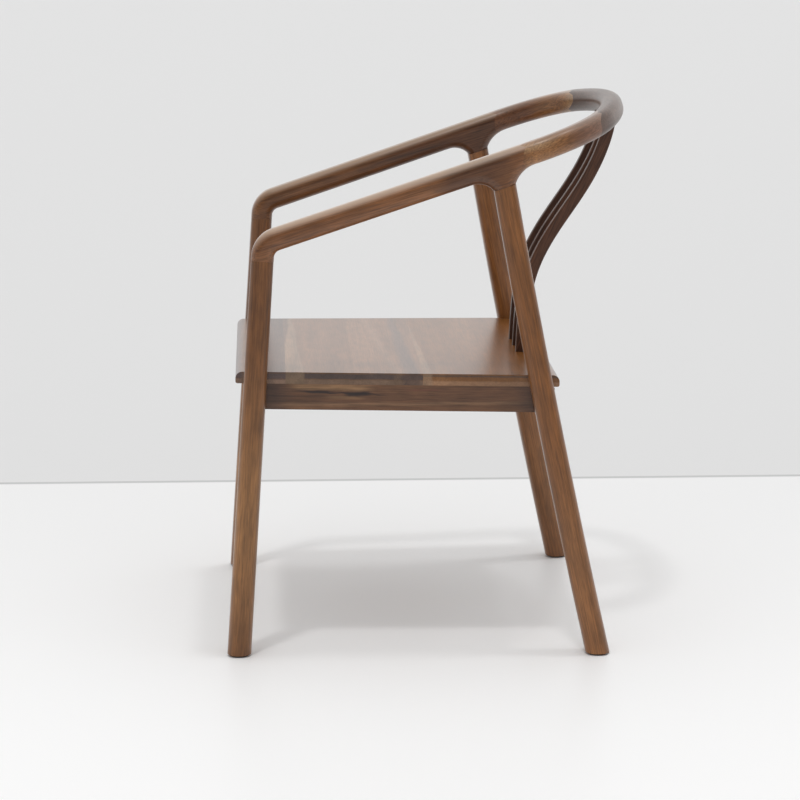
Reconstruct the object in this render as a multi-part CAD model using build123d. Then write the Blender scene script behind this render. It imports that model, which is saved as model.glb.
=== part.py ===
from build123d import *
import os
from math import cos, radians, sin, sqrt, tan

# Horseshoe back armchair in solid walnut. Millimetres, +Z up, the sitter faces -Y.
# Left and right are the sitter's: left is +X. The construction frame has Y = 0 midway
# between the front and rear feet, and every piece is moved at the end so that the
# origin is the bottom centre of the whole chair's box.

# Side frames: two legs and an arm lie in one leaning plane on each side
foot_spread = 553.0        # front foot to rear foot, axis to axis
foot_half_width = 251.0    # side plane from the centre line at the floor, midway
frame_toe = 2.3            # degrees: the side planes open towards the back
frame_lean = 2.43          # degrees: the side planes lean in towards the top
front_rake = 4.06          # degrees: the front leg leans back as it rises
rear_rake = 11.58          # degrees: the rear leg leans forward as it rises
rear_leg_sweep = 4.0       # how far the rear leg's middle bows forward
leg_top_size = 34.0
leg_top_radius = 11.0
foot_size = 36.6
foot_radius = 16.5
leg_stations = (-0.03, 0.3, 0.65, 1.03)  # shares of the leg's length, past both ends
glide_thickness = 3.0
glide_diameter = 30.0

# Horseshoe rail: arms, quarters and crest lie in one sloping plane
rail_height = 714.2        # rail axis above the floor at Y = 0
rail_slope = 18.5          # degrees: the rail rises towards the back
rail_size = 34.4
rail_edge_round = 14.0     # soft-edged round section
corner_radius = 30.0       # bend from front leg to arm, on the axis
corner_drop = 26.0         # front seam below the corner, along the leg
junction_drop = 36.0       # rear seam below the rail axis, along the leg
junction_reach = 49.5      # along the rail, from the junction to where its hollows begin
bow_behind_junction = 49.2  # in Y, from the junction to where the rail bends inwards
shoulder_radius = 130.0    # plan bend at each shoulder
crest_arc_radius = 364.0
joint_behind_junction = 33.0  # in Y, to the finger joint between arm and quarter
crest_joint_x = 168.0      # finger joint between quarter and crest
crest_joint_turn = 50.0    # degrees: that joint reaches further forward on the outside
finger_length = 9.0
finger_count = 3
joint_margin = 4.0         # finger-joint cuts past the rail's sides

# Seat: glued boards on an apron frame that falls slightly to the back
seat_front_height = 440.0
seat_front_overhang = 30.7  # seat's edges past the legs' axes
seat_rear_overhang = 23.6
seat_tilt = 0.9
seat_thickness = 18.0
seat_lap = 5.0             # seat edge beyond the inner faces of the legs
nose_top_radius = 10.5
nose_under_radius = 3.0
board_seams = (76.0, 180.0, 284.0, 388.0)
apron_height = 40.0
apron_thickness = 22.0
apron_setback = 0.5        # side apron behind the seat's edge
apron_leg_overlap = 6.0    # side aprons reach this far into the legs, up to the end aprons
apron_tenon_length = 20.0
apron_tenon_thickness = 10.0
apron_tenon_height = 26.0
block_leg = 52.0
block_height = 30.0

# Back slats
slat_pitch = 50.0
slat_width = 13.0
slat_depth = 18.5
slat_round = 2.5
slat_foot_depth = 12.0     # into the seat
slat_head_depth = 10.0     # into the crest
slat_foot_inset = 40.0     # slat axis ahead of the seat's rear edge
slat_head_forward = 1.5    # slat axis ahead of the crest's axis
# Chord shares and offsets of the slats' S-curve, from the seat to the crest
slat_curve = ((0.20, -23.0), (0.35, -33.0), (0.52, -24.5), (0.70, -2.5), (0.83, 6.0))

# Fasteners
dowel_diameter = 12.0
dowel_length = 44.0
screw_diameter = 4.0
screw_head_diameter = 8.0
screw_head_height = 3.0
screw_slot_width = 1.2
screw_slot_depth = 1.5
screw_slot_margin = 1.0    # from the slot's end to the head's rim
block_screw_inset = 24.0   # from the block's inner corner along each apron
seat_screw_inset = 13.0
block_screw_length = 32.0
seat_screw_length = 42.0
nail_diameter = 2.5
nail_length = 16.0
nail_head_diameter = 9.0
nail_head_height = 1.2

half_rail = rail_size / 2
end_edge_reach = 2.0       # edges this near a cut end aren't rounded
side_face_match = 0.999    # cosine above which a face counts as facing the side plane's way
half_spread = foot_spread / 2
rail_rise = tan(radians(rail_slope))


def side_point(y, z):
    """A point of the left side plane, from its Y and Z."""
    x = foot_half_width + y * tan(radians(frame_toe)) - z * tan(radians(frame_lean))
    return Vector(x, y, z)


side_normal = Vector(1, -tan(radians(frame_toe)), tan(radians(frame_lean))).normalized()
side_plane = Plane(
    origin=side_point(0, 0), x_dir=(tan(radians(frame_toe)), 1, 0), z_dir=side_normal
)
rail_normal = Vector(0, -sin(radians(rail_slope)), cos(radians(rail_slope)))
rail_plane = Plane(origin=(0, 0, rail_height), x_dir=(1, 0, 0), z_dir=rail_normal)


def rail_point(y):
    """A point of the arm's axis at a given Y."""
    return side_point(y, rail_height + y * rail_rise)


# Where the legs' axes meet the rail's axis
corner_z = (rail_height - half_spread * rail_rise) / (1 - tan(radians(front_rake)) * rail_rise)
corner = side_point(corner_z * tan(radians(front_rake)) - half_spread, corner_z)
junction_z = (rail_height + half_spread * rail_rise) / (1 + tan(radians(rear_rake)) * rail_rise)
junction = side_point(half_spread - junction_z * tan(radians(rear_rake)), junction_z)
front_foot = side_point(-half_spread, 0)
rear_foot = side_point(half_spread, 0)
front_axis = (corner - front_foot).normalized()
rear_axis = (junction - rear_foot).normalized()
arm_axis = (rail_point(half_spread) - rail_point(0)).normalized()
bow_start = rail_point(junction.Y + bow_behind_junction)
arm_joint = rail_point(junction.Y + joint_behind_junction)
front_seam = corner - front_axis * corner_drop
rear_seam = junction - rear_axis * junction_drop


def mirrored(piece):
    return mirror(piece, about=Plane.YZ)


def flat(point):
    """A point of the side plane in that plane's own two coordinates."""
    local = side_plane.to_local_coords(point)
    return (local.X, local.Y)


def ahead_of(direction):
    """In the side plane, square to a direction, towards the front."""
    square = side_normal.cross(direction).normalized()
    return square if square.Y < 0 else -square


def above(direction):
    """In the side plane, square to a direction, upwards."""
    square = side_normal.cross(direction).normalized()
    return square if square.Z > 0 else -square


def meet(a, u, b, v):
    """Where the line through a along u meets the line through b along v, in the side plane."""
    n = side_normal.cross(v)
    return a + u * ((b - a).dot(n) / u.dot(n))


def leg_section(centre, axis, size, radius):
    plane = Plane(origin=centre, x_dir=side_normal, z_dir=axis)
    return plane * RectangleRounded(size, size, radius)


def leg_blend(t, low, high):
    return low + (high - low) * t


def leg_body(foot, seam, sweep, seam_line):
    """A leg that tapers from a round foot to a squarer top, between its glide and its seam."""
    chord = seam - foot
    axis = chord.normalized()
    forward = ahead_of(axis)
    sections = []
    for t in leg_stations:
        size = leg_blend(t, foot_size, leg_top_size)
        radius = leg_blend(min(1, max(0, t)), foot_radius, leg_top_radius)
        centre = foot + chord * t + forward * (4 * sweep * t * (1 - t))
        sections.append(leg_section(centre, axis, size, radius))
    body = loft(sections)
    glide_top = Plane(origin=(0, 0, glide_thickness), z_dir=(0, 0, 1))
    seam_cut = Plane(origin=seam, x_dir=side_normal, z_dir=above(seam_line))
    body = split(body, bisect_by=glide_top, keep=Keep.TOP)
    return split(body, bisect_by=seam_cut, keep=Keep.BOTTOM)


def side_outline(points):
    return Polygon(*[flat(p) for p in points], align=None)


def junction_web():
    """The carved Y under the rail: a hollow on each side, from the rail to a corner of the seam."""
    half_leg = ahead_of(rear_axis) * (leg_top_size / 2)
    under = junction - above(arm_axis) * half_rail
    tips = [flat(under - arm_axis * junction_reach), flat(under + arm_axis * junction_reach)]
    corners = [
        flat(meet(junction + half_leg, rear_axis, rear_seam, arm_axis)),
        flat(meet(junction - half_leg, rear_axis, rear_seam, arm_axis)),
    ]
    top = flat(junction)
    heading = Vector(*flat(junction + arm_axis)) - Vector(*top)
    return make_face(Wire([
        TangentArc(tips[0], corners[0], tangent=heading),
        Line(corners[0], corners[1]),
        TangentArc(tips[1], corners[1], tangent=-heading),
        Line(tips[1], top),
        Line(top, tips[0]),
    ]))


def arm_body():
    """Front corner, arm and rear junction as one carved rod that ends where the bow starts."""
    end = bow_start
    leg_side = ahead_of(front_axis) * half_rail
    arm_side = above(arm_axis) * half_rail
    outer = meet(front_seam + leg_side, front_axis, end + arm_side, arm_axis)
    inner = meet(front_seam - leg_side, front_axis, end - arm_side, arm_axis)
    rod = side_outline([
        front_seam + leg_side, outer, end + arm_side, end - arm_side, inner, front_seam - leg_side
    ])
    outline = rod + junction_web()
    for point, radius in (
        (outer, corner_radius + half_rail),
        (inner, corner_radius - half_rail),
    ):
        place = Vector(*flat(point), 0)
        outline = fillet(outline.vertices().sort_by_distance(place)[0], radius)
    body = extrude(side_plane * outline, half_rail, both=True)
    return fillet(long_edges(body, (front_seam, rear_seam, end)), rail_edge_round)


def long_edges(body, ends):
    """Edges along the outline of a rod in the side plane, without those of its cut ends."""
    edges = ShapeList()
    for face in body.faces():
        if abs(face.normal_at().dot(side_normal)) < side_face_match:
            continue
        for edge in face.outer_wire().edges():
            middle = edge.position_at(0.5)
            gaps = [middle - p for p in ends]
            reach = [abs(gap - side_normal * gap.dot(side_normal)) for gap in gaps]
            if min(reach) > end_edge_reach:
                edges.append(edge)
    return edges


# The bow in the rail plane's coordinates: a shoulder arc, the crest arc, a shoulder arc
bow_end = rail_plane.to_local_coords(bow_start)
joint_place = rail_plane.to_local_coords(arm_joint)
rail_heading = (bow_end - joint_place).normalized()
shoulder = bow_end + Vector(-rail_heading.Y, rail_heading.X) * shoulder_radius
crest_reach = sqrt((crest_arc_radius - shoulder_radius) ** 2 - shoulder.X ** 2)
crest_centre = Vector(0, shoulder.Y - crest_reach)
bend_change = crest_centre + (shoulder - crest_centre).normalized() * crest_arc_radius


def flipped(point):
    """The rail-plane point on the other side of the chair."""
    return Vector(-point.X, point.Y)


def bow_place(x):
    """The bow's axis at a distance from the centre line, and the way out of its bend there."""
    centre, radius = crest_centre, crest_arc_radius
    if x > bend_change.X:
        centre, radius = shoulder, shoulder_radius
    across = x - centre.X
    out = Vector(across, sqrt(radius ** 2 - across ** 2)).normalized()
    return centre + out * radius, out


def rail_bow():
    """The rear of the horseshoe, from one arm's bow start to the other's."""
    crown = crest_centre + Vector(0, crest_arc_radius)
    halfway = ((bow_end - shoulder).normalized() + (bend_change - shoulder).normalized()).normalized()
    middle = shoulder + halfway * shoulder_radius
    path = rail_plane * Wire([
        ThreePointArc(bow_end, middle, bend_change),
        ThreePointArc(bend_change, crown, flipped(bend_change)),
        ThreePointArc(flipped(bend_change), flipped(middle), flipped(bow_end)),
    ])
    start = Plane(origin=bow_start, x_dir=rail_normal, z_dir=arm_axis)
    return sweep(start * RectangleRounded(rail_size, rail_size, rail_edge_round), path=path)


def zigzag(centre, direction, side):
    """Finger-joint line across the rail at a point of the rail plane, from one side to the other."""
    reach = half_rail + joint_margin
    steps = 2 * finger_count
    points = []
    for i in range(steps + 1):
        along = finger_length / 2 * (1 if i % 2 else -1)
        points.append(centre + side * (reach * (2 * i / steps - 1)) + direction * along)
    return points


def region(line, far):
    """A plumb block through the rail, bounded by a zigzag line and reaching far past it."""
    outline = Polygon(*[(p.X, p.Y) for p in line + far], align=None)
    return extrude(rail_plane * outline, 4 * rail_size, dir=(0, 0, 1), both=True)


def rail_pieces():
    """Arm, quarter and crest, cut from the whole rail at their finger joints."""
    arm_full = arm_body()
    bow = rail_bow()
    side = Vector(rail_heading.Y, -rail_heading.X)
    arm_line = zigzag(joint_place, rail_heading, side)
    far = 3 * foot_spread
    away = rail_heading * far
    arm_side = region(arm_line, [arm_line[-1] - away, arm_line[0] - away])
    back_side = region(arm_line, [arm_line[-1] + away, arm_line[0] + away])
    place, out = bow_place(crest_joint_x)
    onwards = Vector(out.Y, -out.X)
    crest_line = zigzag(place, onwards, out + onwards * tan(radians(crest_joint_turn)))
    crest_line.append(crest_line[-1] + Vector(0, crest_arc_radius))
    crest_side = region(crest_line, [flipped(p) for p in reversed(crest_line)])
    left_half = Pos(far / 2, 0, 0) * Box(far, 2 * far, 2 * far)
    quarter = (arm_full & back_side) + ((bow - crest_side) & left_half)
    return arm_full & arm_side, quarter, bow & crest_side


# The seat's own plane: X across, Y back along the top, Z up out of it
tilt = radians(seat_tilt)
front_leg_y = seat_front_height * tan(radians(front_rake)) - half_spread
seat_front_y = front_leg_y - seat_front_overhang
seat_plane = Plane(
    origin=(0, seat_front_y, seat_front_height), x_dir=(1, 0, 0), z_dir=(0, sin(tilt), cos(tilt))
)
under_seat = -seat_thickness
apron_middle = under_seat - apron_height / 2


def leg_place(foot, axis, depth):
    """Where a leg's axis passes a given level of the seat plane, in that plane's coordinates."""
    a = seat_plane.to_local_coords(foot)
    b = seat_plane.to_local_coords(foot + axis * seat_front_height)
    return a + (b - a) * ((depth - a.Z) / (b.Z - a.Z))


seat_share = seat_front_height / front_seam.Z
leg_half = leg_blend(seat_share, foot_size, leg_top_size) / 2
front_place = leg_place(front_foot, front_axis, under_seat)
rear_place = leg_place(rear_foot, rear_axis, under_seat)
edge_slope = (rear_place.X - front_place.X) / (rear_place.Y - front_place.Y)
seat_length = rear_place.Y + seat_rear_overhang
front_line = leg_place(front_foot, front_axis, apron_middle).Y + leg_half - apron_leg_overlap
rear_line = leg_place(rear_foot, rear_axis, apron_middle).Y - leg_half + apron_leg_overlap


def edge_x(y):
    """Left edge of the seat at a distance back from its front edge."""
    return front_place.X - leg_half + seat_lap + edge_slope * (y - front_place.Y)


def prism(points, low, high):
    """An upright block on the seat plane, from one level to another."""
    base = seat_plane.offset(low)
    return extrude(base * Polygon(*points, align=None), high - low, dir=seat_plane.z_dir)


def seat_cut(points):
    """A block that reaches past the seat above and below."""
    return prism(points, 2 * under_seat, -under_seat)


def seat_body():
    """The whole seat before it is parted into boards, with its rounded front and back edges."""
    side_view = Plane(origin=seat_plane.origin, x_dir=seat_plane.y_dir, z_dir=seat_plane.x_dir)
    profile = Polygon(
        (0, 0), (0, under_seat), (seat_length, under_seat), (seat_length, 0), align=None
    )
    for point, radius in (
        ((0, 0, 0), nose_top_radius),
        ((seat_length, 0, 0), nose_top_radius),
        ((0, under_seat, 0), nose_under_radius),
        ((seat_length, under_seat, 0), nose_under_radius),
    ):
        profile = fillet(profile.vertices().sort_by_distance(point)[0], radius)
    slab = extrude(side_view * profile, foot_spread, both=True)
    front = edge_x(0)
    rear = edge_x(seat_length)
    return slab & seat_cut([(front, 0), (rear, seat_length), (-rear, seat_length), (-front, 0)])


def side_apron():
    outer = [(edge_x(y) - apron_setback, y) for y in (front_line, rear_line)]
    inner = [(x - apron_thickness, y) for x, y in reversed(outer)]
    return prism(outer + inner, under_seat - apron_height, under_seat)


def end_apron(near, sign, legs):
    """Front or rear apron from its inner face; sign is -1 at the front and 1 at the rear."""
    reach = edge_x(near) + leg_half - seat_lap
    far = near + sign * apron_thickness
    plan = [(-reach, near), (reach, near), (reach, far), (-reach, far)]
    body = prism(plan, under_seat - apron_height, under_seat)
    for leg in legs:
        body -= leg
    low = (near + far) / 2 - apron_tenon_thickness / 2
    high = low + apron_tenon_thickness
    bottom = apron_middle - apron_tenon_height / 2
    leg_face = edge_x(near) - seat_lap
    for side in (1, -1):
        root = side * (leg_face - apron_setback - seat_lap)
        tip = side * (leg_face + apron_tenon_length)
        plan = [(root, low), (tip, low), (tip, high), (root, high)]
        body += prism(plan, bottom, bottom + apron_tenon_height)
    return body


def corner_block(near, sign):
    """A glued triangle in the left corner behind an end apron; sign is +1 at the front."""
    x = edge_x(near) - apron_setback - apron_thickness
    end_y = near + sign * block_leg
    end_x = edge_x(end_y) - apron_setback - apron_thickness
    points = [(x, near), (end_x, end_y), (x - block_leg, near)]
    return prism(points, under_seat - block_height, under_seat)


def seat_point(x, y, z):
    return seat_plane.from_local_coords(Vector(x, y, z))


def round_bar(start, direction, diameter, length):
    return extrude(Plane(origin=start, z_dir=direction) * Circle(diameter / 2), length)


def screw_bulk(start, direction, length):
    """A countersunk screw as it fills its hole, from the middle of its head's face."""
    rim = Plane(origin=start, z_dir=direction) * Circle(screw_head_diameter / 2)
    neck_plane = Plane(origin=start + direction * screw_head_height, z_dir=direction)
    head = loft([rim, neck_plane * Circle(screw_diameter / 2)])
    return head + round_bar(start, direction, screw_diameter, length)


def countersunk(start, direction, length):
    """The screw itself, with its cross slot."""
    screw = screw_bulk(start, direction, length)
    slot_length = screw_head_diameter - 2 * screw_slot_margin
    face = Plane(origin=start, z_dir=direction)
    for size in ((slot_length, screw_slot_width), (screw_slot_width, slot_length)):
        screw -= extrude(face * Rectangle(*size), screw_slot_depth)
    return screw


def driver_way(start, direction):
    """The hole that a screw's head and driver pass through, behind the head."""
    return round_bar(start, -direction, screw_head_diameter, block_leg)


def corner_screws(near, sign):
    """Start, direction and length of a left block's end, side and seat screws."""
    corner_x = edge_x(near) - apron_setback - apron_thickness
    side_x = edge_x(near + sign * block_screw_inset) - apron_setback - apron_thickness
    half = block_screw_length / 2
    upper = under_seat - block_height / 3
    lower = under_seat - block_height * 2 / 3
    sunk = under_seat - block_height + screw_head_height
    end_start = seat_point(corner_x - block_screw_inset, near + sign * half, upper)
    side_start = seat_point(side_x - half, near + sign * block_screw_inset, lower)
    seat_start = seat_point(corner_x - seat_screw_inset, near + sign * seat_screw_inset, sunk)
    return (
        (end_start, seat_plane.y_dir * -sign, block_screw_length),
        (side_start, seat_plane.x_dir, block_screw_length),
        (seat_start, seat_plane.z_dir, seat_screw_length),
    )


def back_slat(x):
    crest_axis = rail_plane.from_local_coords(Vector(x, bow_place(abs(x))[0].Y))
    foot = seat_point(x, seat_length - slat_foot_inset, -slat_foot_depth)
    head = crest_axis + Vector(0, -slat_head_forward, slat_head_depth - half_rail)
    points = [foot]
    for share, bow in slat_curve:
        points.append(foot + (head - foot) * share + Vector(0, bow, 0))
    points.append(head)
    path = Spline(*points)
    plane = Plane(origin=foot, x_dir=(1, 0, 0), z_dir=path.tangent_at(0))
    return sweep(plane * RectangleRounded(slat_width, slat_depth, slat_round), path=path)


def dowel(seam, axis):
    return round_bar(seam - axis * (dowel_length / 2), axis, dowel_diameter, dowel_length)


def glide_nail(foot):
    seated = Vector(foot.X, foot.Y, glide_thickness / 3)
    up = Vector(0, 0, 1)
    head = round_bar(seated, up, nail_head_diameter, nail_head_height)
    return head + round_bar(seated, up, nail_diameter, nail_length)


def glide(foot):
    up = Vector(0, 0, 1)
    disc = round_bar(foot, up, glide_diameter, glide_thickness)
    head_way = round_bar(foot, up, nail_head_diameter, glide_thickness / 3)
    return disc - glide_nail(foot) - head_way


def both_sides(pieces):
    return pieces + [mirrored(p) for p in pieces]


arm, quarter, crest = rail_pieces()
front_leg = leg_body(front_foot, front_seam, 0, ahead_of(front_axis))
rear_leg = leg_body(rear_foot, rear_seam, rear_leg_sweep, arm_axis)

# Loose and hidden pieces of the left side
dowels = [dowel(front_seam, front_axis), dowel(rear_seam, rear_axis)]
nails = [glide_nail(front_foot), glide_nail(rear_foot)]
glides = [glide(front_foot), glide(rear_foot)]

whole_legs = both_sides([front_leg, rear_leg])
seat = seat_body()
for leg in whole_legs:
    seat -= leg
apron_left = side_apron()
end_aprons = [end_apron(front_line, -1, whole_legs), end_apron(rear_line, 1, whole_legs)]

# Mortises and holes
front_leg = front_leg - apron_left - end_aprons[0] - dowels[0] - nails[0]
rear_leg = rear_leg - apron_left - end_aprons[1] - dowels[1] - nails[1]
for pin in dowels:
    arm -= pin
slats = [back_slat(x) for x in (slat_pitch, 0, -slat_pitch)]
for slat in slats:
    crest -= slat
    seat -= slat

# Corner blocks and their screws
blocks = []
apron_screws = []
seat_screws = []
for i, (near, sign) in enumerate(((front_line, 1), (rear_line, -1))):
    block = corner_block(near, sign)
    places = corner_screws(near, sign)
    for start, direction, length in places:
        block -= screw_bulk(start, direction, length)
        block -= driver_way(start, direction)
    blocks.append(block)
    end_hole, side_hole, seat_hole = [screw_bulk(*place) for place in places]
    end_aprons[i] = end_aprons[i] - end_hole - mirrored(end_hole)
    apron_left -= side_hole
    seat = seat - seat_hole - mirrored(seat_hole)
    apron_screws += [countersunk(*place) for place in places[:2]]
    seat_screws.append(countersunk(*places[2]))

# The seat's boards, from front to back
wide = foot_spread
board_lines = (under_seat,) + board_seams + (seat_length - under_seat,)
boards = []
for low, high in zip(board_lines, board_lines[1:]):
    boards.append(seat & seat_cut([(-wide, low), (wide, low), (wide, high), (-wide, high)]))

nodes = {
    "front_leg_left": front_leg,
    "front_leg_right": mirrored(front_leg),
    "rear_leg_left": rear_leg,
    "rear_leg_right": mirrored(rear_leg),
    "arm_left": arm,
    "arm_right": mirrored(arm),
    "rail_quarter_left": quarter,
    "rail_quarter_right": mirrored(quarter),
    "crest_rail": crest,
    "back_slat_left": slats[0],
    "back_slat_centre": slats[1],
    "back_slat_right": slats[2],
    "apron_left": apron_left,
    "apron_right": mirrored(apron_left),
    "apron_front": end_aprons[0],
    "apron_rear": end_aprons[1],
    "corner_block_front_left": blocks[0],
    "corner_block_front_right": mirrored(blocks[0]),
    "corner_block_rear_left": blocks[1],
    "corner_block_rear_right": mirrored(blocks[1]),
    "leg_dowels": Compound(children=both_sides(dowels)),
    "foot_glides": Compound(children=both_sides(glides)),
    "glide_nails": Compound(children=both_sides(nails)),
    "apron_screws": Compound(children=both_sides(apron_screws)),
    "seat_screws": Compound(children=both_sides(seat_screws)),
}
for number, board in enumerate(boards, 1):
    nodes[f"seat_board_{number}"] = board

# Move the chair so that the origin is the bottom centre of its box
box = Compound(children=[Compound(p.solids()) for p in nodes.values()]).bounding_box()
shift = Vector(-(box.min.X + box.max.X) / 2, -(box.min.Y + box.max.Y) / 2, -box.min.Z)
os.makedirs("parts", exist_ok=True)
for name, piece in nodes.items():
    placed = Pos(shift) * Compound(piece.solids())
    export_step(placed, f"parts/{name}.step")
print("box", box.size, "shift", shift)
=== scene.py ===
import bpy
import numpy as np
from math import cos, pi, sin
from mathutils import Matrix, Vector

# Horseshoe back armchair in oiled walnut. Metres, +Z up, the sitter faces -Y, +X is the
# sitter's left. The wooden pieces are the frame's own solids. This script gives each its
# wood, with the grain along the way that the piece is sawn, then floor, light and camera.

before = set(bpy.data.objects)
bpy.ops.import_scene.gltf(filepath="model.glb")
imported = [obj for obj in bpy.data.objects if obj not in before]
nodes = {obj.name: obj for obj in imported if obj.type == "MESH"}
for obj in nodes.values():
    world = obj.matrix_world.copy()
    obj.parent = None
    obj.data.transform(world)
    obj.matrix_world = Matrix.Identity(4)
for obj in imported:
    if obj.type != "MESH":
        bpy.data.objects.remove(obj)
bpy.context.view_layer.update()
print("frame loaded:", len(nodes), "pieces")


def addNode(tree, kind, **values):
    node = tree.nodes.new("ShaderNode" + kind)
    for key, value in values.items():
        setattr(node, key, value)
    return node


def feed(tree, target, socket, source):
    # source is another node's output, or a plain value for the socket itself
    if isinstance(source, bpy.types.NodeSocket):
        tree.links.new(source, target.inputs[socket])
    else:
        target.inputs[socket].default_value = source


def doMath(tree, operation, first, second=0.0):
    node = addNode(tree, "Math", operation=operation)
    feed(tree, node, 0, first)
    feed(tree, node, 1, second)
    return node.outputs[0]


def plus(tree, first, second):
    return doMath(tree, "ADD", first, second)


def minus(tree, first, second):
    return doMath(tree, "SUBTRACT", first, second)


def times(tree, first, second):
    return doMath(tree, "MULTIPLY", first, second)


def mapRange(tree, value, low, high, toLow=0.0, toHigh=1.0):
    node = addNode(tree, "MapRange", interpolation_type="SMOOTHSTEP")
    feed(tree, node, "Value", value)
    limits = {"From Min": low, "From Max": high, "To Min": toLow, "To Max": toHigh}
    for socket, source in limits.items():
        feed(tree, node, socket, source)
    return node.outputs["Result"]


def mixColour(tree, share, first, second, blend="MIX"):
    # a Mix node has sockets for every kind of value: inputs 6 and 7 and output 2 are colours
    node = addNode(tree, "Mix", data_type="RGBA", blend_type=blend)
    feed(tree, node, 0, share)
    feed(tree, node, 6, first)
    feed(tree, node, 7, second)
    return node.outputs[2]


def noise(tree, vector, scale, detail=2.0, rough=0.5):
    stretched = addNode(tree, "VectorMath", operation="MULTIPLY")
    feed(tree, stretched, 0, vector)
    feed(tree, stretched, 1, scale)
    node = addNode(tree, "TexNoise")
    feed(tree, node, "Vector", stretched.outputs[0])
    feed(tree, node, "Scale", 1.0)
    feed(tree, node, "Detail", detail)
    feed(tree, node, "Roughness", rough)
    return node.outputs["Fac"]


def splitVector(tree, vector):
    node = addNode(tree, "SeparateXYZ")
    feed(tree, node, 0, vector)
    return {axis: node.outputs[axis] for axis in "XYZ"}


def newGroup(name, inputs, outputs):
    tree = bpy.data.node_groups.new(name, "ShaderNodeTree")
    for label, kind, value in inputs:
        socket = tree.interface.new_socket(label, in_out="INPUT", socket_type="NodeSocket" + kind)
        if value is not None:
            socket.default_value = value
    for label, kind in outputs:
        tree.interface.new_socket(label, in_out="OUTPUT", socket_type="NodeSocket" + kind)
    return tree, tree.nodes.new("NodeGroupInput").outputs, tree.nodes.new("NodeGroupOutput")


def socketName(key):
    # waveScale becomes Wave Scale
    return "".join(" " + letter if letter.isupper() else letter for letter in key).title()


# Scales are per metre, with X along the grain. A span gives the two levels of a noise between
# which its pattern comes in.
figure = {
    "driftScale": (1.8, 9.0, 9.0),        # slow wander of the rings
    "driftDetail": 3.0,
    "lateShare": 2.2,                     # how late in a ring the dark wood comes
    "fadeScale": (3.0, 35.0, 35.0),       # where the rings show and where they fade
    "fadeSpan": (0.36, 0.64),
    "fadeLeast": 0.15,                    # what is left of them there
    "toneScale": (1.6, 26.0, 26.0),       # broad lighter and darker areas
    "toneSpan": (0.34, 0.66),
    "streakScale": (4.5, 150.0, 150.0),   # darker streaks, a few millimetres wide
    "streakDetail": 3.0,
    "streakSpan": (0.50, 0.72),
    "mottleScale": (26.0, 60.0, 60.0),    # the cloudy shimmer across the grain
    "mottleDepth": 0.10,
    "fibreScale": (22.0, 620.0, 620.0),
    "fibreDetail": 3.0,
    "fibreRough": 0.6,
    "fibreHeight": 0.4,
    "depthSpan": (0.3, 0.7),              # for the mottle and the fibres
    "poreScale": (55.0, 900.0, 900.0),
    "poreDetail": 1.0,
    "poreSpan": (0.60, 0.72),
    "poreDark": 0.55,
    "poreRough": 0.12,
}
noiseMiddle = 0.5


def makeWoodGroup():
    tree, given, out = newGroup(
        "walnutFigure",
        [
            ("Grain", "Vector", None),
            ("Light Wood", "Color", (0.30, 0.15, 0.07, 1)),
            ("Main Wood", "Color", (0.20, 0.08, 0.03, 1)),
            ("Dark Wood", "Color", (0.08, 0.03, 0.014, 1)),
            ("Ring Width", "Float", 0.008),
            ("Ring Strength", "Float", 0.3),
            ("Drift", "Float", 0.03),
            ("Streaks", "Float", 0.4),
            ("Pores", "Float", 0.5),
            ("Fibre", "Float", 0.24),
            ("Base Roughness", "Float", 0.42),
        ],
        [("Color", "Color"), ("Roughness", "Float"), ("Height", "Float")],
    )
    grain = given["Grain"]
    across = splitVector(tree, grain)
    ySquare = doMath(tree, "POWER", across["Y"], 2.0)
    zSquare = doMath(tree, "POWER", across["Z"], 2.0)
    radius = doMath(tree, "SQRT", plus(tree, ySquare, zSquare))
    driftNoise = noise(tree, grain, figure["driftScale"], figure["driftDetail"])
    wander = times(tree, minus(tree, driftNoise, noiseMiddle), given["Drift"])
    turns = doMath(tree, "DIVIDE", plus(tree, radius, wander), given["Ring Width"])
    late = doMath(tree, "POWER", doMath(tree, "PINGPONG", turns, 1.0), figure["lateShare"])
    fadeNoise = noise(tree, grain, figure["fadeScale"])
    fade = mapRange(tree, fadeNoise, *figure["fadeSpan"], figure["fadeLeast"], 1.0)
    ringShare = times(tree, times(tree, late, fade), given["Ring Strength"])
    tone = mapRange(tree, noise(tree, grain, figure["toneScale"]), *figure["toneSpan"])
    streakNoise = noise(tree, grain, figure["streakScale"], figure["streakDetail"])
    streakShare = times(tree, mapRange(tree, streakNoise, *figure["streakSpan"]), given["Streaks"])
    mottle = noise(tree, grain, figure["mottleScale"])
    fibre = noise(tree, grain, figure["fibreScale"], figure["fibreDetail"], figure["fibreRough"])
    poreNoise = noise(tree, grain, figure["poreScale"], figure["poreDetail"])
    pore = times(tree, mapRange(tree, poreNoise, *figure["poreSpan"]), given["Pores"])

    colour = mixColour(tree, tone, given["Main Wood"], given["Light Wood"])
    colour = mixColour(tree, ringShare, colour, given["Dark Wood"])
    colour = mixColour(tree, streakShare, colour, given["Dark Wood"])
    for pattern, depth in ((fibre, given["Fibre"]), (mottle, figure["mottleDepth"])):
        darkest, lightest = minus(tree, 1.0, depth), plus(tree, 1.0, depth)
        level = mapRange(tree, pattern, *figure["depthSpan"], darkest, lightest)
        grey = addNode(tree, "CombineColor")
        for channel in range(3):
            feed(tree, grey, channel, level)
        colour = mixColour(tree, 1.0, colour, grey.outputs[0], "MULTIPLY")
    poreShare = times(tree, pore, figure["poreDark"])
    feed(tree, out, "Color", mixColour(tree, poreShare, colour, given["Dark Wood"]))

    poreRough = times(tree, pore, figure["poreRough"])
    feed(tree, out, "Roughness", plus(tree, given["Base Roughness"], poreRough))
    fibreHeight = times(tree, fibre, figure["fibreHeight"])
    feed(tree, out, "Height", minus(tree, fibreHeight, pore))
    return tree


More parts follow.
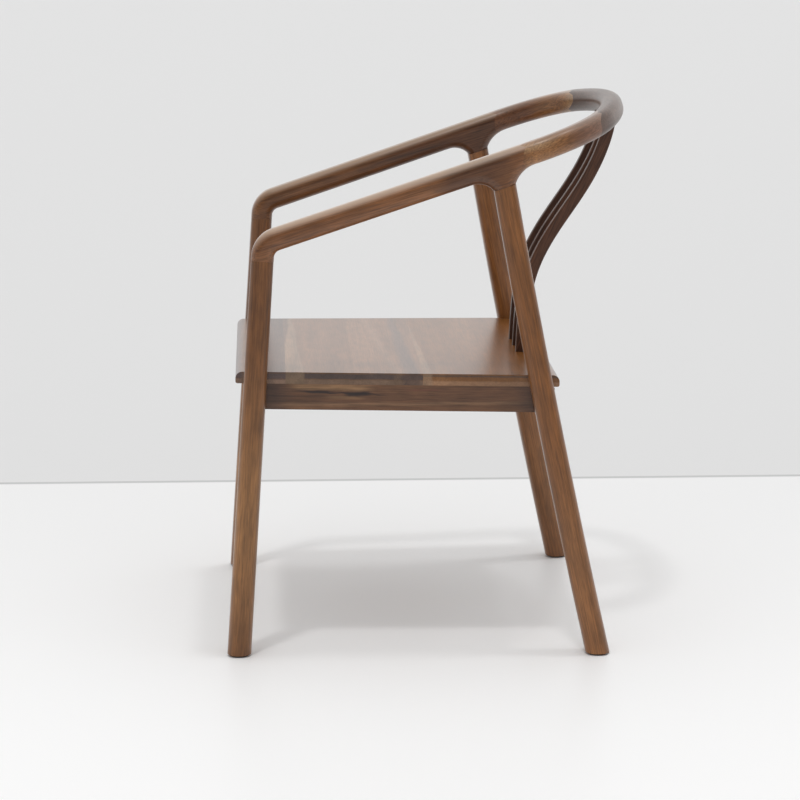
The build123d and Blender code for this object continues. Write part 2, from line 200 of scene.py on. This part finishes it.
# A band of other wood (sapwood, a dark streak, a knot, one end of a piece that is paler), and also
# the bands of painted shade and painted light on the seat edges and apron ends
bandDefaults = {
    "line": 0.0,        # the band's middle, across
    "lean": 0.0,        # how the line rises along the band
    "half": 1.0,        # half its width
    "flare": 0.0,       # half width gained per metre along
    "soft": 0.002,
    "start": -9.0,      # along
    "stop": 9.0,
    "fade": 0.01,       # how softly it starts and stops
    "wave": 0.0,        # wander of its edges
    "waveScale": 12.0,
    "share": 1.0,
}
waveGain = 4.0          # the noise keeps to about a quarter either side of its middle


def makeBandGroup():
    sockets = [("Place", "Vector", None), ("Along", "Float", 0.0), ("Across", "Float", 0.0)]
    sockets += [(socketName(key), "Float", value) for key, value in bandDefaults.items()]
    tree, given, out = newGroup("woodAndPaintedLightBand", sockets, [("Mask", "Float")])
    along, soft = given["Along"], given["Soft"]
    start, stop, fade = given["Start"], given["Stop"], given["Fade"]
    scaled = addNode(tree, "VectorMath", operation="SCALE")
    feed(tree, scaled, 0, given["Place"])
    feed(tree, scaled, "Scale", given["Wave Scale"])
    wander = minus(tree, noise(tree, scaled.outputs[0], (1.0, 1.0, 1.0)), noiseMiddle)
    wave = times(tree, times(tree, wander, waveGain), given["Wave"])
    line = plus(tree, given["Line"], times(tree, given["Lean"], along))
    off = minus(tree, plus(tree, given["Across"], wave), line)
    half = plus(tree, given["Half"], times(tree, given["Flare"], along))
    outside = minus(tree, doMath(tree, "ABSOLUTE", off), half)
    inside = mapRange(tree, outside, times(tree, soft, -1.0), soft, 1.0, 0.0)
    shifted = plus(tree, along, wave)
    fadeIn = mapRange(tree, shifted, start, plus(tree, start, fade))
    fadeOut = mapRange(tree, shifted, minus(tree, stop, fade), stop, 1.0, 0.0)
    mask = times(tree, inside, times(tree, fadeIn, fadeOut))
    feed(tree, out, "Mask", times(tree, mask, given["Share"]))
    return tree


woodGroup = makeWoodGroup()
bandGroup = makeBandGroup()


def grainSpace(node):
    # Origin and axes of a sawn piece: X along its longest way, from the spread of its points
    points = np.array([v.co for v in nodes[node].data.vertices], float)
    centre = points.mean(0)
    ways = np.linalg.eigh(np.cov((points - centre).T))[1]
    along = ways[:, 2] * np.sign(ways[:, 2][np.argmax(np.abs(ways[:, 2]))])
    side = ways[:, 1] * np.sign(ways[:, 1][np.argmax(np.abs(ways[:, 1]))])
    up = np.cross(along, side)
    turn = Matrix([[along[i], side[i], up[i]] for i in range(3)])
    return Vector(centre), turn.to_euler("XYZ")


def dress(node, material):
    piece = nodes[node]
    if not piece.material_slots:
        piece.data.materials.append(material)
    for place in piece.material_slots:
        place.material = material


def newMaterial(name):
    material = bpy.data.materials.new(name)
    material.use_nodes = True
    return material, material.node_tree, material.node_tree.nodes["Principled BSDF"]


def tinted(colour, factor=1.0):
    return tuple(min(1.0, channel * factor) for channel in colour) + (1.0,)


def addBump(tree, shader, height, look):
    bump = addNode(tree, "Bump")
    feed(tree, bump, "Strength", look["bump"])
    feed(tree, bump, "Distance", look["bumpDepth"])
    feed(tree, bump, "Height", height)
    feed(tree, shader, "Normal", bump.outputs[0])


finish = {
    "coat": 0.90,            # the oil's skin
    "coatRough": 0.28,
    "ior": 1.35,
    "coatIor": 1.35,
    "bump": 0.35,
    "bumpDepth": 0.00012,
    "paintedSheenStart": 0.15,        # how steep a face still gets the painted sheen
    "endGrainStart": 0.75,   # how squarely a face cuts the grain before it darkens
    "bandLight": 1.22,       # a band's lightest and darkest wood, against its colour
    "bandDark": 0.62,
}


def makeWood(node, wood, heart, bands=(), axes=("X", "Y")):
    # heart is how far the tree's middle lies from the piece's own; bands run along the first
    # of axes and lie across at a place on the second, unless they name their own
    material, tree, shader = newMaterial("walnut_" + node)
    centre, turn = grainSpace(node)
    place = addNode(tree, "TexCoord").outputs["Object"]
    parts = splitVector(tree, place)
    space = addNode(tree, "Mapping", vector_type="TEXTURE")
    feed(tree, space, "Vector", place)
    feed(tree, space, "Location", centre)
    feed(tree, space, "Rotation", turn)
    heartShift = addNode(tree, "VectorMath", operation="ADD")
    feed(tree, heartShift, 0, space.outputs[0])
    feed(tree, heartShift, 1, heart)

    colours = {name: tinted(wood[name]) for name in ("light", "main", "dark")}
    factors = {"light": finish["bandLight"], "main": 1.0, "dark": finish["bandDark"]}
    for given in bands:
        band = {"axes": axes, **bandDefaults, **given}
        along, across = band["axes"]
        mask = addNode(tree, "Group", node_tree=bandGroup)
        feed(tree, mask, "Place", place)
        feed(tree, mask, "Along", parts[along])
        feed(tree, mask, "Across", parts[across])
        for key in bandDefaults:
            feed(tree, mask, socketName(key), band[key])
        for name, factor in factors.items():
            toned = tinted(band["colour"], factor)
            colours[name] = mixColour(tree, mask.outputs["Mask"], colours[name], toned)

    figured = addNode(tree, "Group", node_tree=woodGroup)
    feed(tree, figured, "Grain", heartShift.outputs[0])
    for name in colours:
        feed(tree, figured, name.title() + " Wood", colours[name])
    for key in ("ringWidth", "ringStrength", "drift", "streaks", "pores", "fibre"):
        feed(tree, figured, socketName(key), wood[key])
    feed(tree, figured, "Base Roughness", wood["rough"])
    colour = figured.outputs["Color"]
    if "endGrain" in wood:
        # the ends of a board drink more oil and turn darker and greyer
        facing = splitVector(tree, addNode(tree, "NewGeometry").outputs["Normal"])[axes[0]]
        ends = mapRange(tree, doMath(tree, "ABSOLUTE", facing), finish["endGrainStart"], 1.0)
        oiled = mixColour(tree, 1.0, colour, tinted(wood["endGrain"]), "MULTIPLY")
        colour = mixColour(tree, ends, colour, oiled)
    if "paintedSheen" in wood:
        # painted sheen: the more a face turns up, the paler it is painted, standing in for the
        # gloss on the tops
        up = splitVector(tree, addNode(tree, "NewGeometry").outputs["Normal"])["Z"]
        paintedSheenMask = mapRange(tree, up, finish["paintedSheenStart"], 1.0, 0.0, wood["paintedSheenShare"])
        colour = mixColour(tree, paintedSheenMask, colour, tinted(wood["paintedSheen"]))
    feed(tree, shader, "Base Color", colour)
    feed(tree, shader, "Roughness", figured.outputs["Roughness"])
    feed(tree, shader, "IOR", finish["ior"])
    feed(tree, shader, "Coat Weight", wood.get("coat", finish["coat"]))
    feed(tree, shader, "Coat Roughness", finish["coatRough"])
    feed(tree, shader, "Coat IOR", finish["coatIor"])
    addBump(tree, shader, figured.outputs["Height"], finish)
    dress(node, material)


# Legs: straight grain, paler towards the foot
legs = {
    "front": {
        "light": (0.215, 0.085, 0.025), "main": (0.150, 0.055, 0.013),
        "dark": (0.072, 0.027, 0.009), "ringWidth": 0.0085, "ringStrength": 0.20,
        "drift": 0.030, "streaks": 0.25, "pores": 0.5, "fibre": 0.28, "rough": 0.42,
        "foot": {"colour": (0.300, 0.142, 0.050), "start": -0.1, "stop": 0.52, "fade": 0.34,
                 "share": 0.85, "wave": 0.02},
    },
    "rear": {
        "light": (0.265, 0.105, 0.030), "main": (0.192, 0.070, 0.016),
        "dark": (0.092, 0.034, 0.010), "ringWidth": 0.0090, "ringStrength": 0.20,
        "drift": 0.030, "streaks": 0.28, "pores": 0.5, "fibre": 0.28, "rough": 0.42,
        "foot": {"colour": (0.240, 0.104, 0.036), "start": -0.1, "stop": 0.40, "fade": 0.30,
                 "share": 0.7, "wave": 0.02},
    },
    "hearts": {
        "front_leg_left": (0.0, 0.070, 0.020),
        "front_leg_right": (3.1, -0.060, 0.045),
        "rear_leg_left": (5.3, 0.085, -0.030),
        "rear_leg_right": (7.7, -0.070, -0.050),
    },
}
for node, heart in legs["hearts"].items():
    wood = legs[node.split("_")[0]]
    makeWood(node, wood, heart, [wood["foot"]], ("Z", "Y"))
print("legs:", len(legs["hearts"]))


# Arms: brown, with painted sheen on their tops, darker where the rear leg joins. The right arm's
# darker wood is painted shade.
arms = {
    "arm_left": {
        "light": (0.245, 0.102, 0.038), "main": (0.182, 0.071, 0.025),
        "dark": (0.092, 0.035, 0.015), "ringWidth": 0.0080, "ringStrength": 0.32,
        "drift": 0.034, "streaks": 0.50, "pores": 0.6, "fibre": 0.32, "rough": 0.40,
        # paler top: painted sheen
        "paintedSheen": (0.540, 0.400, 0.295), "paintedSheenShare": 0.80,
        "heart": (9.2, 0.050, 0.040),
        "bands": [
            {"colour": (0.080, 0.031, 0.013), "start": 0.000, "stop": 0.130, "fade": 0.045,
             "wave": 0.014, "share": 0.85},
        ],
    },
    "arm_right": {
        # painted shade: a darker copy of the left arm's wood, for the dimmer light on this arm's
        # inner face
        "light": (0.190, 0.078, 0.027), "main": (0.145, 0.056, 0.018),
        "dark": (0.070, 0.027, 0.010), "ringWidth": 0.0080, "ringStrength": 0.32,
        "drift": 0.034, "streaks": 0.50, "pores": 0.6, "fibre": 0.32, "rough": 0.40,
        # paler top: painted sheen, darker like the rest of this arm
        "paintedSheen": (0.430, 0.300, 0.200), "paintedSheenShare": 0.68,
        "heart": (11.4, -0.065, 0.030),
        "bands": [
            {"colour": (0.088, 0.034, 0.014), "start": -0.140, "fade": 0.16,
             "wave": 0.014, "share": 0.9},
        ],
    },
}
for node, arm in arms.items():
    makeWood(node, arm, arm["heart"], arm["bands"], ("Y", "Z"))
print("arms:", len(arms))


# Quarters: warmer brown. The left one's pale streak follows the rail, which rises to the back.
railRise = 0.3346
railLevel = 0.7209     # the rail's axis at Y = 0
streakLift = 0.010     # how far the streak lies above it
quarters = {
    "wood": {
        "light": (0.330, 0.152, 0.052), "main": (0.235, 0.098, 0.030),
        "dark": (0.115, 0.045, 0.016), "ringWidth": 0.0095, "ringStrength": 0.28,
        "drift": 0.036, "streaks": 0.38, "pores": 0.45, "fibre": 0.34, "rough": 0.40,
        # paler tops: painted sheen, as on the arms
        "paintedSheen": (0.400, 0.290, 0.210), "paintedSheenShare": 0.30,
    },
    "pieces": {
        "rail_quarter_left": {
            "heart": (13.5, 0.090, 0.020),
            "bands": [
                {"colour": (0.140, 0.058, 0.026), "stop": 0.150, "fade": 0.035,
                 "wave": 0.010, "share": 0.75},
                {"colour": (0.140, 0.066, 0.042), "start": 0.175, "fade": 0.07,
                 "wave": 0.012, "share": 0.85},
                {"colour": (0.40, 0.24, 0.125), "line": railLevel + streakLift,
                 "lean": railRise, "half": 0.0055, "soft": 0.004, "start": 0.06,
                 "stop": 0.20, "fade": 0.05, "wave": 0.002, "share": 0.8},
            ],
        },
        "rail_quarter_right": {
            "heart": (15.9, -0.075, 0.035),
            "bands": [
                {"colour": (0.125, 0.046, 0.019), "stop": 0.222, "fade": 0.04,
                 "wave": 0.008, "share": 0.9},
                {"colour": (0.36, 0.22, 0.10), "start": 0.235, "fade": 0.03,
                 "wave": 0.006, "share": 0.7},
            ],
        },
    },
}
for node, piece in quarters["pieces"].items():
    makeWood(node, quarters["wood"], piece["heart"], piece["bands"], ("Y", "Z"))
print("quarters:", len(quarters["pieces"]))


# Crest: a greyer board, grain across the chair
crest = {
    "light": (0.140, 0.085, 0.060), "main": (0.104, 0.061, 0.044),
    "dark": (0.056, 0.032, 0.024), "ringWidth": 0.0100, "ringStrength": 0.24,
    "drift": 0.036, "streaks": 0.30, "pores": 0.45, "fibre": 0.28, "rough": 0.40,
    "coat": 0.55,
    "heart": (17.3, 0.110, 0.040),
}
makeWood("crest_rail", crest, crest["heart"])
print("crest: 1")


# Back slats: the darkest wood
slats = {
    "wood": {
        "light": (0.090, 0.036, 0.018), "main": (0.052, 0.020, 0.010),
        "dark": (0.020, 0.008, 0.005), "ringWidth": 0.0070, "ringStrength": 0.30,
        "drift": 0.026, "streaks": 0.45, "pores": 0.6, "fibre": 0.34, "rough": 0.44,
        "coat": 0.25,
    },
    "hearts": {
        "back_slat_left": (19.1, 0.060, 0.030),
        "back_slat_centre": (21.8, 0.070, -0.020),
        "back_slat_right": (23.2, -0.050, 0.050),
    },
}
for node, heart in slats["hearts"].items():
    makeWood(node, slats["wood"], heart)
print("slats:", len(slats["hearts"]))


# Aprons: the left one shows a knot and dark streaks towards its front, and painted shade at its
# ends next to the legs
darkStreak = (0.022, 0.010, 0.008)
yellowWood = (0.250, 0.135, 0.062)
aprons = {
    "wood": {
        "light": (0.185, 0.084, 0.036), "main": (0.122, 0.052, 0.023),
        "dark": (0.048, 0.021, 0.011), "ringWidth": 0.0075, "ringStrength": 0.30,
        "drift": 0.040, "streaks": 0.45, "pores": 0.6, "fibre": 0.24, "rough": 0.44,
    },
    "hearts": {
        "apron_left": (25.6, 0.030, 0.050),
        "apron_right": (27.4, -0.045, 0.040),
        "apron_front": (29.8, 0.055, 0.035),
        "apron_rear": (31.3, -0.060, 0.045),
    },
    "leftBands": [
        {"colour": yellowWood, "line": 0.4095, "lean": -0.035, "half": 0.0045, "soft": 0.003,
         "start": -0.225, "stop": -0.080, "fade": 0.03,
         "wave": 0.0015, "waveScale": 30.0, "share": 0.9},
        {"colour": yellowWood, "line": 0.3965, "lean": -0.02, "half": 0.0022, "soft": 0.002,
         "start": -0.170, "stop": -0.090, "fade": 0.03,
         "wave": 0.001, "waveScale": 30.0, "share": 0.6},
        {"colour": darkStreak, "line": 0.3985, "lean": -0.055, "half": 0.0010, "soft": 0.0010,
         "start": -0.215, "stop": -0.060, "fade": 0.03,
         "wave": 0.0014, "waveScale": 40.0, "share": 0.85},
        {"colour": darkStreak, "line": 0.4080, "half": 0.0020, "soft": 0.0016,
         "start": -0.200, "stop": -0.140, "fade": 0.020,
         "wave": 0.0012, "waveScale": 40.0, "share": 0.95},
        {"colour": darkStreak, "line": 0.4040, "half": 0.0030, "soft": 0.0022,
         "start": -0.137, "stop": -0.086, "fade": 0.015,
         "wave": 0.0014, "waveScale": 40.0, "share": 1.0},
        {"colour": (0.170, 0.055, 0.030), "line": 0.4100, "half": 0.001, "soft": 0.0015,
         "start": -0.050, "stop": 0.030, "fade": 0.03,
         "wave": 0.0008, "waveScale": 30.0, "share": 0.7},
        {"colour": (0.215, 0.115, 0.058), "line": 0.3885, "half": 0.0022, "soft": 0.002,
         "wave": 0.001, "waveScale": 25.0, "share": 0.7},
        # painted shade at the front end, next to the front leg
        {"colour": (0.070, 0.034, 0.022), "start": -9.0, "stop": -0.205, "fade": 0.035,
         "wave": 0.004, "share": 0.75},
        # painted shade at the rear end, next to the rear leg
        {"colour": (0.080, 0.038, 0.024), "start": 0.120, "stop": 9.0, "fade": 0.030,
         "wave": 0.004, "share": 0.6},
    ],
}
for node, heart in aprons["hearts"].items():
    bands = aprons["leftBands"] if node == "apron_left" else ()
    axes = ("X", "Z") if node in ("apron_front", "apron_rear") else ("Y", "Z")
    makeWood(node, aprons["wood"], heart, bands, axes)
print("aprons:", len(aprons["hearts"]))


# Seat: five boards with their grain across the chair. Bands run along X at a Y of their own.
# Those of the side edges run along Y, at a depth below the top: a band of painted shade just under
# the top, and a paler band of painted bounce light from the floor lower down.
greyBoard = {
    "light": (0.150, 0.072, 0.042), "main": (0.108, 0.050, 0.029),
    "dark": (0.060, 0.028, 0.018), "ringWidth": 0.0120, "ringStrength": 0.22,
    "drift": 0.050, "streaks": 0.25, "pores": 0.4, "fibre": 0.17, "rough": 0.38,
    "endGrain": (0.85, 0.90, 0.95),
}
pinkBoard = {
    "light": (0.262, 0.120, 0.052), "main": (0.200, 0.084, 0.031),
    "dark": (0.105, 0.044, 0.019), "ringWidth": 0.0140, "ringStrength": 0.52,
    "drift": 0.060, "streaks": 0.20, "pores": 0.4, "fibre": 0.17, "rough": 0.38,
    "endGrain": (0.62, 0.66, 0.68),
}
tanBoard = {
    "light": (0.252, 0.103, 0.028), "main": (0.193, 0.070, 0.013),
    "dark": (0.105, 0.037, 0.010), "ringWidth": 0.0130, "ringStrength": 0.26,
    "drift": 0.055, "streaks": 0.25, "pores": 0.4, "fibre": 0.17, "rough": 0.38,
    "endGrain": (0.90, 0.95, 1.00),
}
sapwood = (0.290, 0.172, 0.098)
seatTop = {"level": 0.4351, "drop": -0.0157}     # its height at Y = 0 and fall to the back
edgeDepth = {"upper": 0.0058, "thin": 0.0030, "under": 0.0150}
# painted shade along the side edges, just under the top
paintedShadeEdge = {
    "colour": (0.100, 0.062, 0.054), "axes": ("Y", "Z"), "lean": seatTop["drop"],
    "line": seatTop["level"] - edgeDepth["upper"], "half": 0.0040, "soft": 0.0014,
    "wave": 0.0008, "waveScale": 30.0, "share": 0.9,
}
thinPaintedShadeEdge = {
    **paintedShadeEdge, "colour": (0.070, 0.040, 0.028), "half": 0.0014, "share": 0.8,
    "line": seatTop["level"] - edgeDepth["thin"],
}
# painted bounce light from the floor, low on the side edges
paintedBounceEdge = {
    **paintedShadeEdge, "colour": (0.265, 0.155, 0.098), "share": 0.75,
    "line": seatTop["level"] - edgeDepth["under"],
}
# on the tan boards partly their own paler end grain, partly painted bounce light
paleWoodBounceEdge = {**paintedBounceEdge, "colour": (0.315, 0.162, 0.082)}
greyEdgeShadeAndBounce = [paintedShadeEdge, paintedBounceEdge]
tanEdgeShadeAndBounce = [thinPaintedShadeEdge, paleWoodBounceEdge]
seat = {
    "seat_board_1": {
        "wood": greyBoard, "heart": (33.7, 0.020, 0.140), "edge": greyEdgeShadeAndBounce,
        "bands": [
            {"colour": sapwood, "line": -0.281, "half": 0.005, "soft": 0.004,
             "wave": 0.002, "share": 0.55},
        ],
    },
    "seat_board_2": {
        "wood": pinkBoard, "heart": (35.2, -0.035, 0.120), "edge": greyEdgeShadeAndBounce,
        "bands": [
            {"colour": greyBoard["main"], "line": -0.222, "half": 0.006, "flare": -0.03,
             "soft": 0.002, "wave": 0.002, "share": 0.7},
            {"colour": sapwood, "line": -0.2085, "half": 0.0095, "flare": 0.032,
             "soft": 0.0022, "wave": 0.0032, "waveScale": 7.0, "share": 0.75},
        ],
    },
    "seat_board_3": {
        "wood": pinkBoard, "heart": (37.9, 0.045, 0.160), "edge": greyEdgeShadeAndBounce,
        "bands": [
            {"colour": (0.270, 0.145, 0.080), "line": -0.067, "lean": 0.072, "half": 0.005,
             "soft": 0.006, "wave": 0.003, "share": 0.55},
            {"colour": (0.115, 0.060, 0.044), "line": -0.034, "lean": 0.025, "half": 0.009,
             "flare": 0.02, "soft": 0.005, "wave": 0.003, "share": 0.7},
        ],
    },
    "seat_board_4": {
        "wood": tanBoard, "heart": (39.4, -0.025, 0.130), "edge": tanEdgeShadeAndBounce,
        "bands": [
            {"colour": sapwood, "line": -0.0095, "lean": 0.022, "half": 0.004,
             "flare": 0.015, "soft": 0.003, "wave": 0.002, "share": 0.6},
        ],
    },
    "seat_board_5": {
        "wood": tanBoard, "heart": (41.6, 0.030, 0.110), "edge": tanEdgeShadeAndBounce,
        "bands": [],
    },
}
for node, board in seat.items():
    makeWood(node, board["wood"], board["heart"], board["edge"] + board["bands"])
print("seat boards:", len(seat))


# Hidden wood: plain blocks and dowels
blocks = {
    "light": (0.36, 0.24, 0.13), "main": (0.28, 0.18, 0.095), "dark": (0.16, 0.095, 0.05),
    "ringWidth": 0.0040, "ringStrength": 0.3, "drift": 0.02, "streaks": 0.25,
    "pores": 0.3, "fibre": 0.2, "rough": 0.6,
    "hearts": {
        "corner_block_front_left": (43.1, 0.04, 0.06),
        "corner_block_front_right": (45.5, -0.04, 0.06),
        "corner_block_rear_left": (47.2, 0.05, 0.05),
        "corner_block_rear_right": (49.8, -0.05, 0.05),
    },
}
dowels = {
    "light": (0.52, 0.38, 0.22), "main": (0.44, 0.31, 0.17), "dark": (0.27, 0.18, 0.09),
    "ringWidth": 0.0030, "ringStrength": 0.25, "drift": 0.01, "streaks": 0.2,
    "pores": 0.2, "fibre": 0.2, "rough": 0.6,
    "hearts": {"leg_dowels": (51.0, 0.03, 0.03)},
}
for hidden in (blocks, dowels):
    for node, heart in hidden["hearts"].items():
        makeWood(node, hidden, heart)
print("blocks and dowels:", len(blocks["hearts"]) + len(dowels["hearts"]))


# Glides, nails and screws
darkNylon = (0.030, 0.028, 0.027)
nailSteel = (0.56, 0.55, 0.52)
screwZinc = (0.60, 0.53, 0.36)
smallParts = {
    "pieces": {
        "foot_glides": {"colour": darkNylon, "metal": 0.0, "rough": (0.45, 0.62), "scale": 900.0},
        "glide_nails": {"colour": nailSteel, "metal": 1.0, "rough": (0.28, 0.45), "scale": 700.0},
        "apron_screws": {"colour": screwZinc, "metal": 1.0, "rough": (0.26, 0.44), "scale": 700.0},
        "seat_screws": {"colour": screwZinc, "metal": 1.0, "rough": (0.26, 0.44), "scale": 700.0},
    },
    "worn": 0.75,            # the darker of the two tones
    "speckDetail": 3.0,
    "speckSpan": (0.3, 0.7),
    "bump": 0.2,
    "bumpDepth": 0.00005,
}


def makeSmallPart(node, look):
    material, tree, shader = newMaterial("finish_" + node)
    place = addNode(tree, "TexCoord").outputs["Object"]
    speck = noise(tree, place, (look["scale"],) * 3, smallParts["speckDetail"])
    rough = mapRange(tree, speck, *smallParts["speckSpan"], *look["rough"])
    worn = tinted(look["colour"], smallParts["worn"])
    feed(tree, shader, "Base Color", mixColour(tree, speck, worn, tinted(look["colour"])))
    feed(tree, shader, "Roughness", rough)
    feed(tree, shader, "Metallic", look["metal"])
    addBump(tree, shader, speck, smallParts)
    dress(node, material)


for node, look in smallParts["pieces"].items():
    makeSmallPart(node, look)
print("small parts:", len(smallParts["pieces"]), "groups")


def addObject(name, data):
    thing = bpy.data.objects.new(name, data)
    bpy.context.scene.collection.objects.link(thing)
    return thing


def aim(thing, ahead):
    thing.rotation_euler = ahead.to_track_quat("-Z", "Y").to_euler()


# Floor: pale and painted darker towards the back, with the grey of a wall beyond a straight edge
# and a line of painted shade where they meet
floor = {
    "reach": 30.0,
    "colour": (0.97, 0.97, 0.97),
    # painted shade: the floor is painted darker towards -X, behind the chair, for light that falls
    # off there
    "paintedFarShade": (0.86, 0.86, 0.86),
    "paintedFarShadeReach": (-0.8, 0.7),     # the X where the floor is all painted far shade, and where it has none
    "wallColour": (0.725, 0.725, 0.725),
    # painted shade in the corner where wall meets floor
    "paintedCornerShade": (0.52, 0.52, 0.52),
    "cornerShadeHalf": 0.004,
    "edgeX": -0.7966,
    "edgeTurn": 0.0196,          # how far the edge turns from square to the chair
    "edgeSoft": 0.006,
    "rough": 0.42,
    "ior": 1.3,
}


def makeFloor():
    reach = floor["reach"]
    mesh = bpy.data.meshes.new("floor")
    corners = [(-reach, -reach, 0), (reach, -reach, 0), (reach, reach, 0), (-reach, reach, 0)]
    mesh.from_pydata(corners, [], [(0, 1, 2, 3)])
    piece = addObject("floor", mesh)
    material, tree, shader = newMaterial("paleFloor")
    parts = splitVector(tree, addNode(tree, "TexCoord").outputs["Object"])
    across = minus(tree, parts["X"], times(tree, parts["Y"], floor["edgeTurn"]))
    edge, soft, cornerShadeHalf = floor["edgeX"], floor["edgeSoft"], floor["cornerShadeHalf"]
    nearness = mapRange(tree, across, *floor["paintedFarShadeReach"])
    pale = mixColour(tree, nearness, tinted(floor["paintedFarShade"]), tinted(floor["colour"]))
    onFloor = mapRange(tree, across, edge - soft, edge + soft)
    colour = mixColour(tree, onFloor, tinted(floor["wallColour"]), pale)
    off = doMath(tree, "ABSOLUTE", minus(tree, across, edge))
    # painted shade along the line where wall and floor meet
    cornerShadeMask = mapRange(tree, off, cornerShadeHalf, cornerShadeHalf + soft, 1.0, 0.0)
    feed(tree, shader, "Base Color", mixColour(tree, cornerShadeMask, colour, tinted(floor["paintedCornerShade"])))
    feed(tree, shader, "Roughness", floor["rough"])
    feed(tree, shader, "IOR", floor["ior"])
    mesh.materials.append(material)


# Light: a bright ceiling all round and two lamps overhead, which cross their shadows
light = {
    "around": 0.40,              # the fill, level
    "ceiling": 0.72,             # and what straight above adds
    "ceilingFall": 2.0,          # how fast that fades towards the horizon
    "background": 0.85,          # beyond the floor, pale all round
    "seenBack": 1.0,             # what gloss sees beyond the chair's right side, plain white
    "seenFront": 0.06,           # and beyond its left side
    "seenReach": (-0.2, 0.9),    # the X of the ways between which the one turns into the other
    "lamps": {                   # level is a lamp's share of the floor's light
        "lampLeft": {"way": (0.245, -0.15, 1.0), "level": 0.15},
        "lampRear": {"way": (-0.03, 0.16, 1.0), "level": 0.09},
    },
    "lampAngle": 0.09,
}


def makeLight():
    world = bpy.data.worlds.new("studio")
    bpy.context.scene.world = world
    world.use_nodes = True
    tree = world.node_tree
    sky = tree.nodes["Background"]
    ways = splitVector(tree, addNode(tree, "TexCoord").outputs["Generated"])
    height = doMath(tree, "MAXIMUM", ways["Z"], 0.0)
    overhead = doMath(tree, "POWER", height, light["ceilingFall"])
    fill = plus(tree, times(tree, overhead, light["ceiling"]), light["around"])
    mirrored = mapRange(tree, ways["X"], *light["seenReach"], light["seenBack"], light["seenFront"])
    rays = addNode(tree, "LightPath").outputs
    glossChange = times(tree, minus(tree, mirrored, fill), rays["Is Glossy Ray"])
    level = plus(tree, fill, glossChange)
    seen = doMath(tree, "MAXIMUM", rays["Is Camera Ray"], rays["Is Transmission Ray"])
    seenChange = times(tree, minus(tree, light["background"], level), seen)
    feed(tree, sky, "Strength", plus(tree, level, seenChange))
    feed(tree, sky, "Color", (1.0, 1.0, 1.0, 1.0))
    for name, look in light["lamps"].items():
        lamp = bpy.data.lights.new(name, "SUN")
        lamp.energy = look["level"] * pi
        lamp.angle = light["lampAngle"]
        holder = addObject(name, lamp)
        holder.location = look["way"]
        aim(holder, -Vector(look["way"]))


view = {
    "place": (3.7675, -0.2551, 1.2131),
    "pitch": 0.2263,             # radians down
    "yaw": 0.0586,               # radians towards the back
    "lens": 108.0,
    "sensor": 36.0,
}


def makeCamera():
    camera = bpy.data.cameras.new("camera")
    camera.sensor_width = view["sensor"]
    camera.lens = view["lens"]
    holder = addObject("camera", camera)
    holder.location = view["place"]
    pitch, yaw = view["pitch"], view["yaw"]
    aim(holder, Vector((-cos(pitch) * cos(yaw), cos(pitch) * sin(yaw), -sin(pitch))))
    bpy.context.scene.camera = holder


makeFloor()
makeLight()
makeCamera()
bpy.context.scene.view_settings.view_transform = "Standard"
print("floor, light and camera")
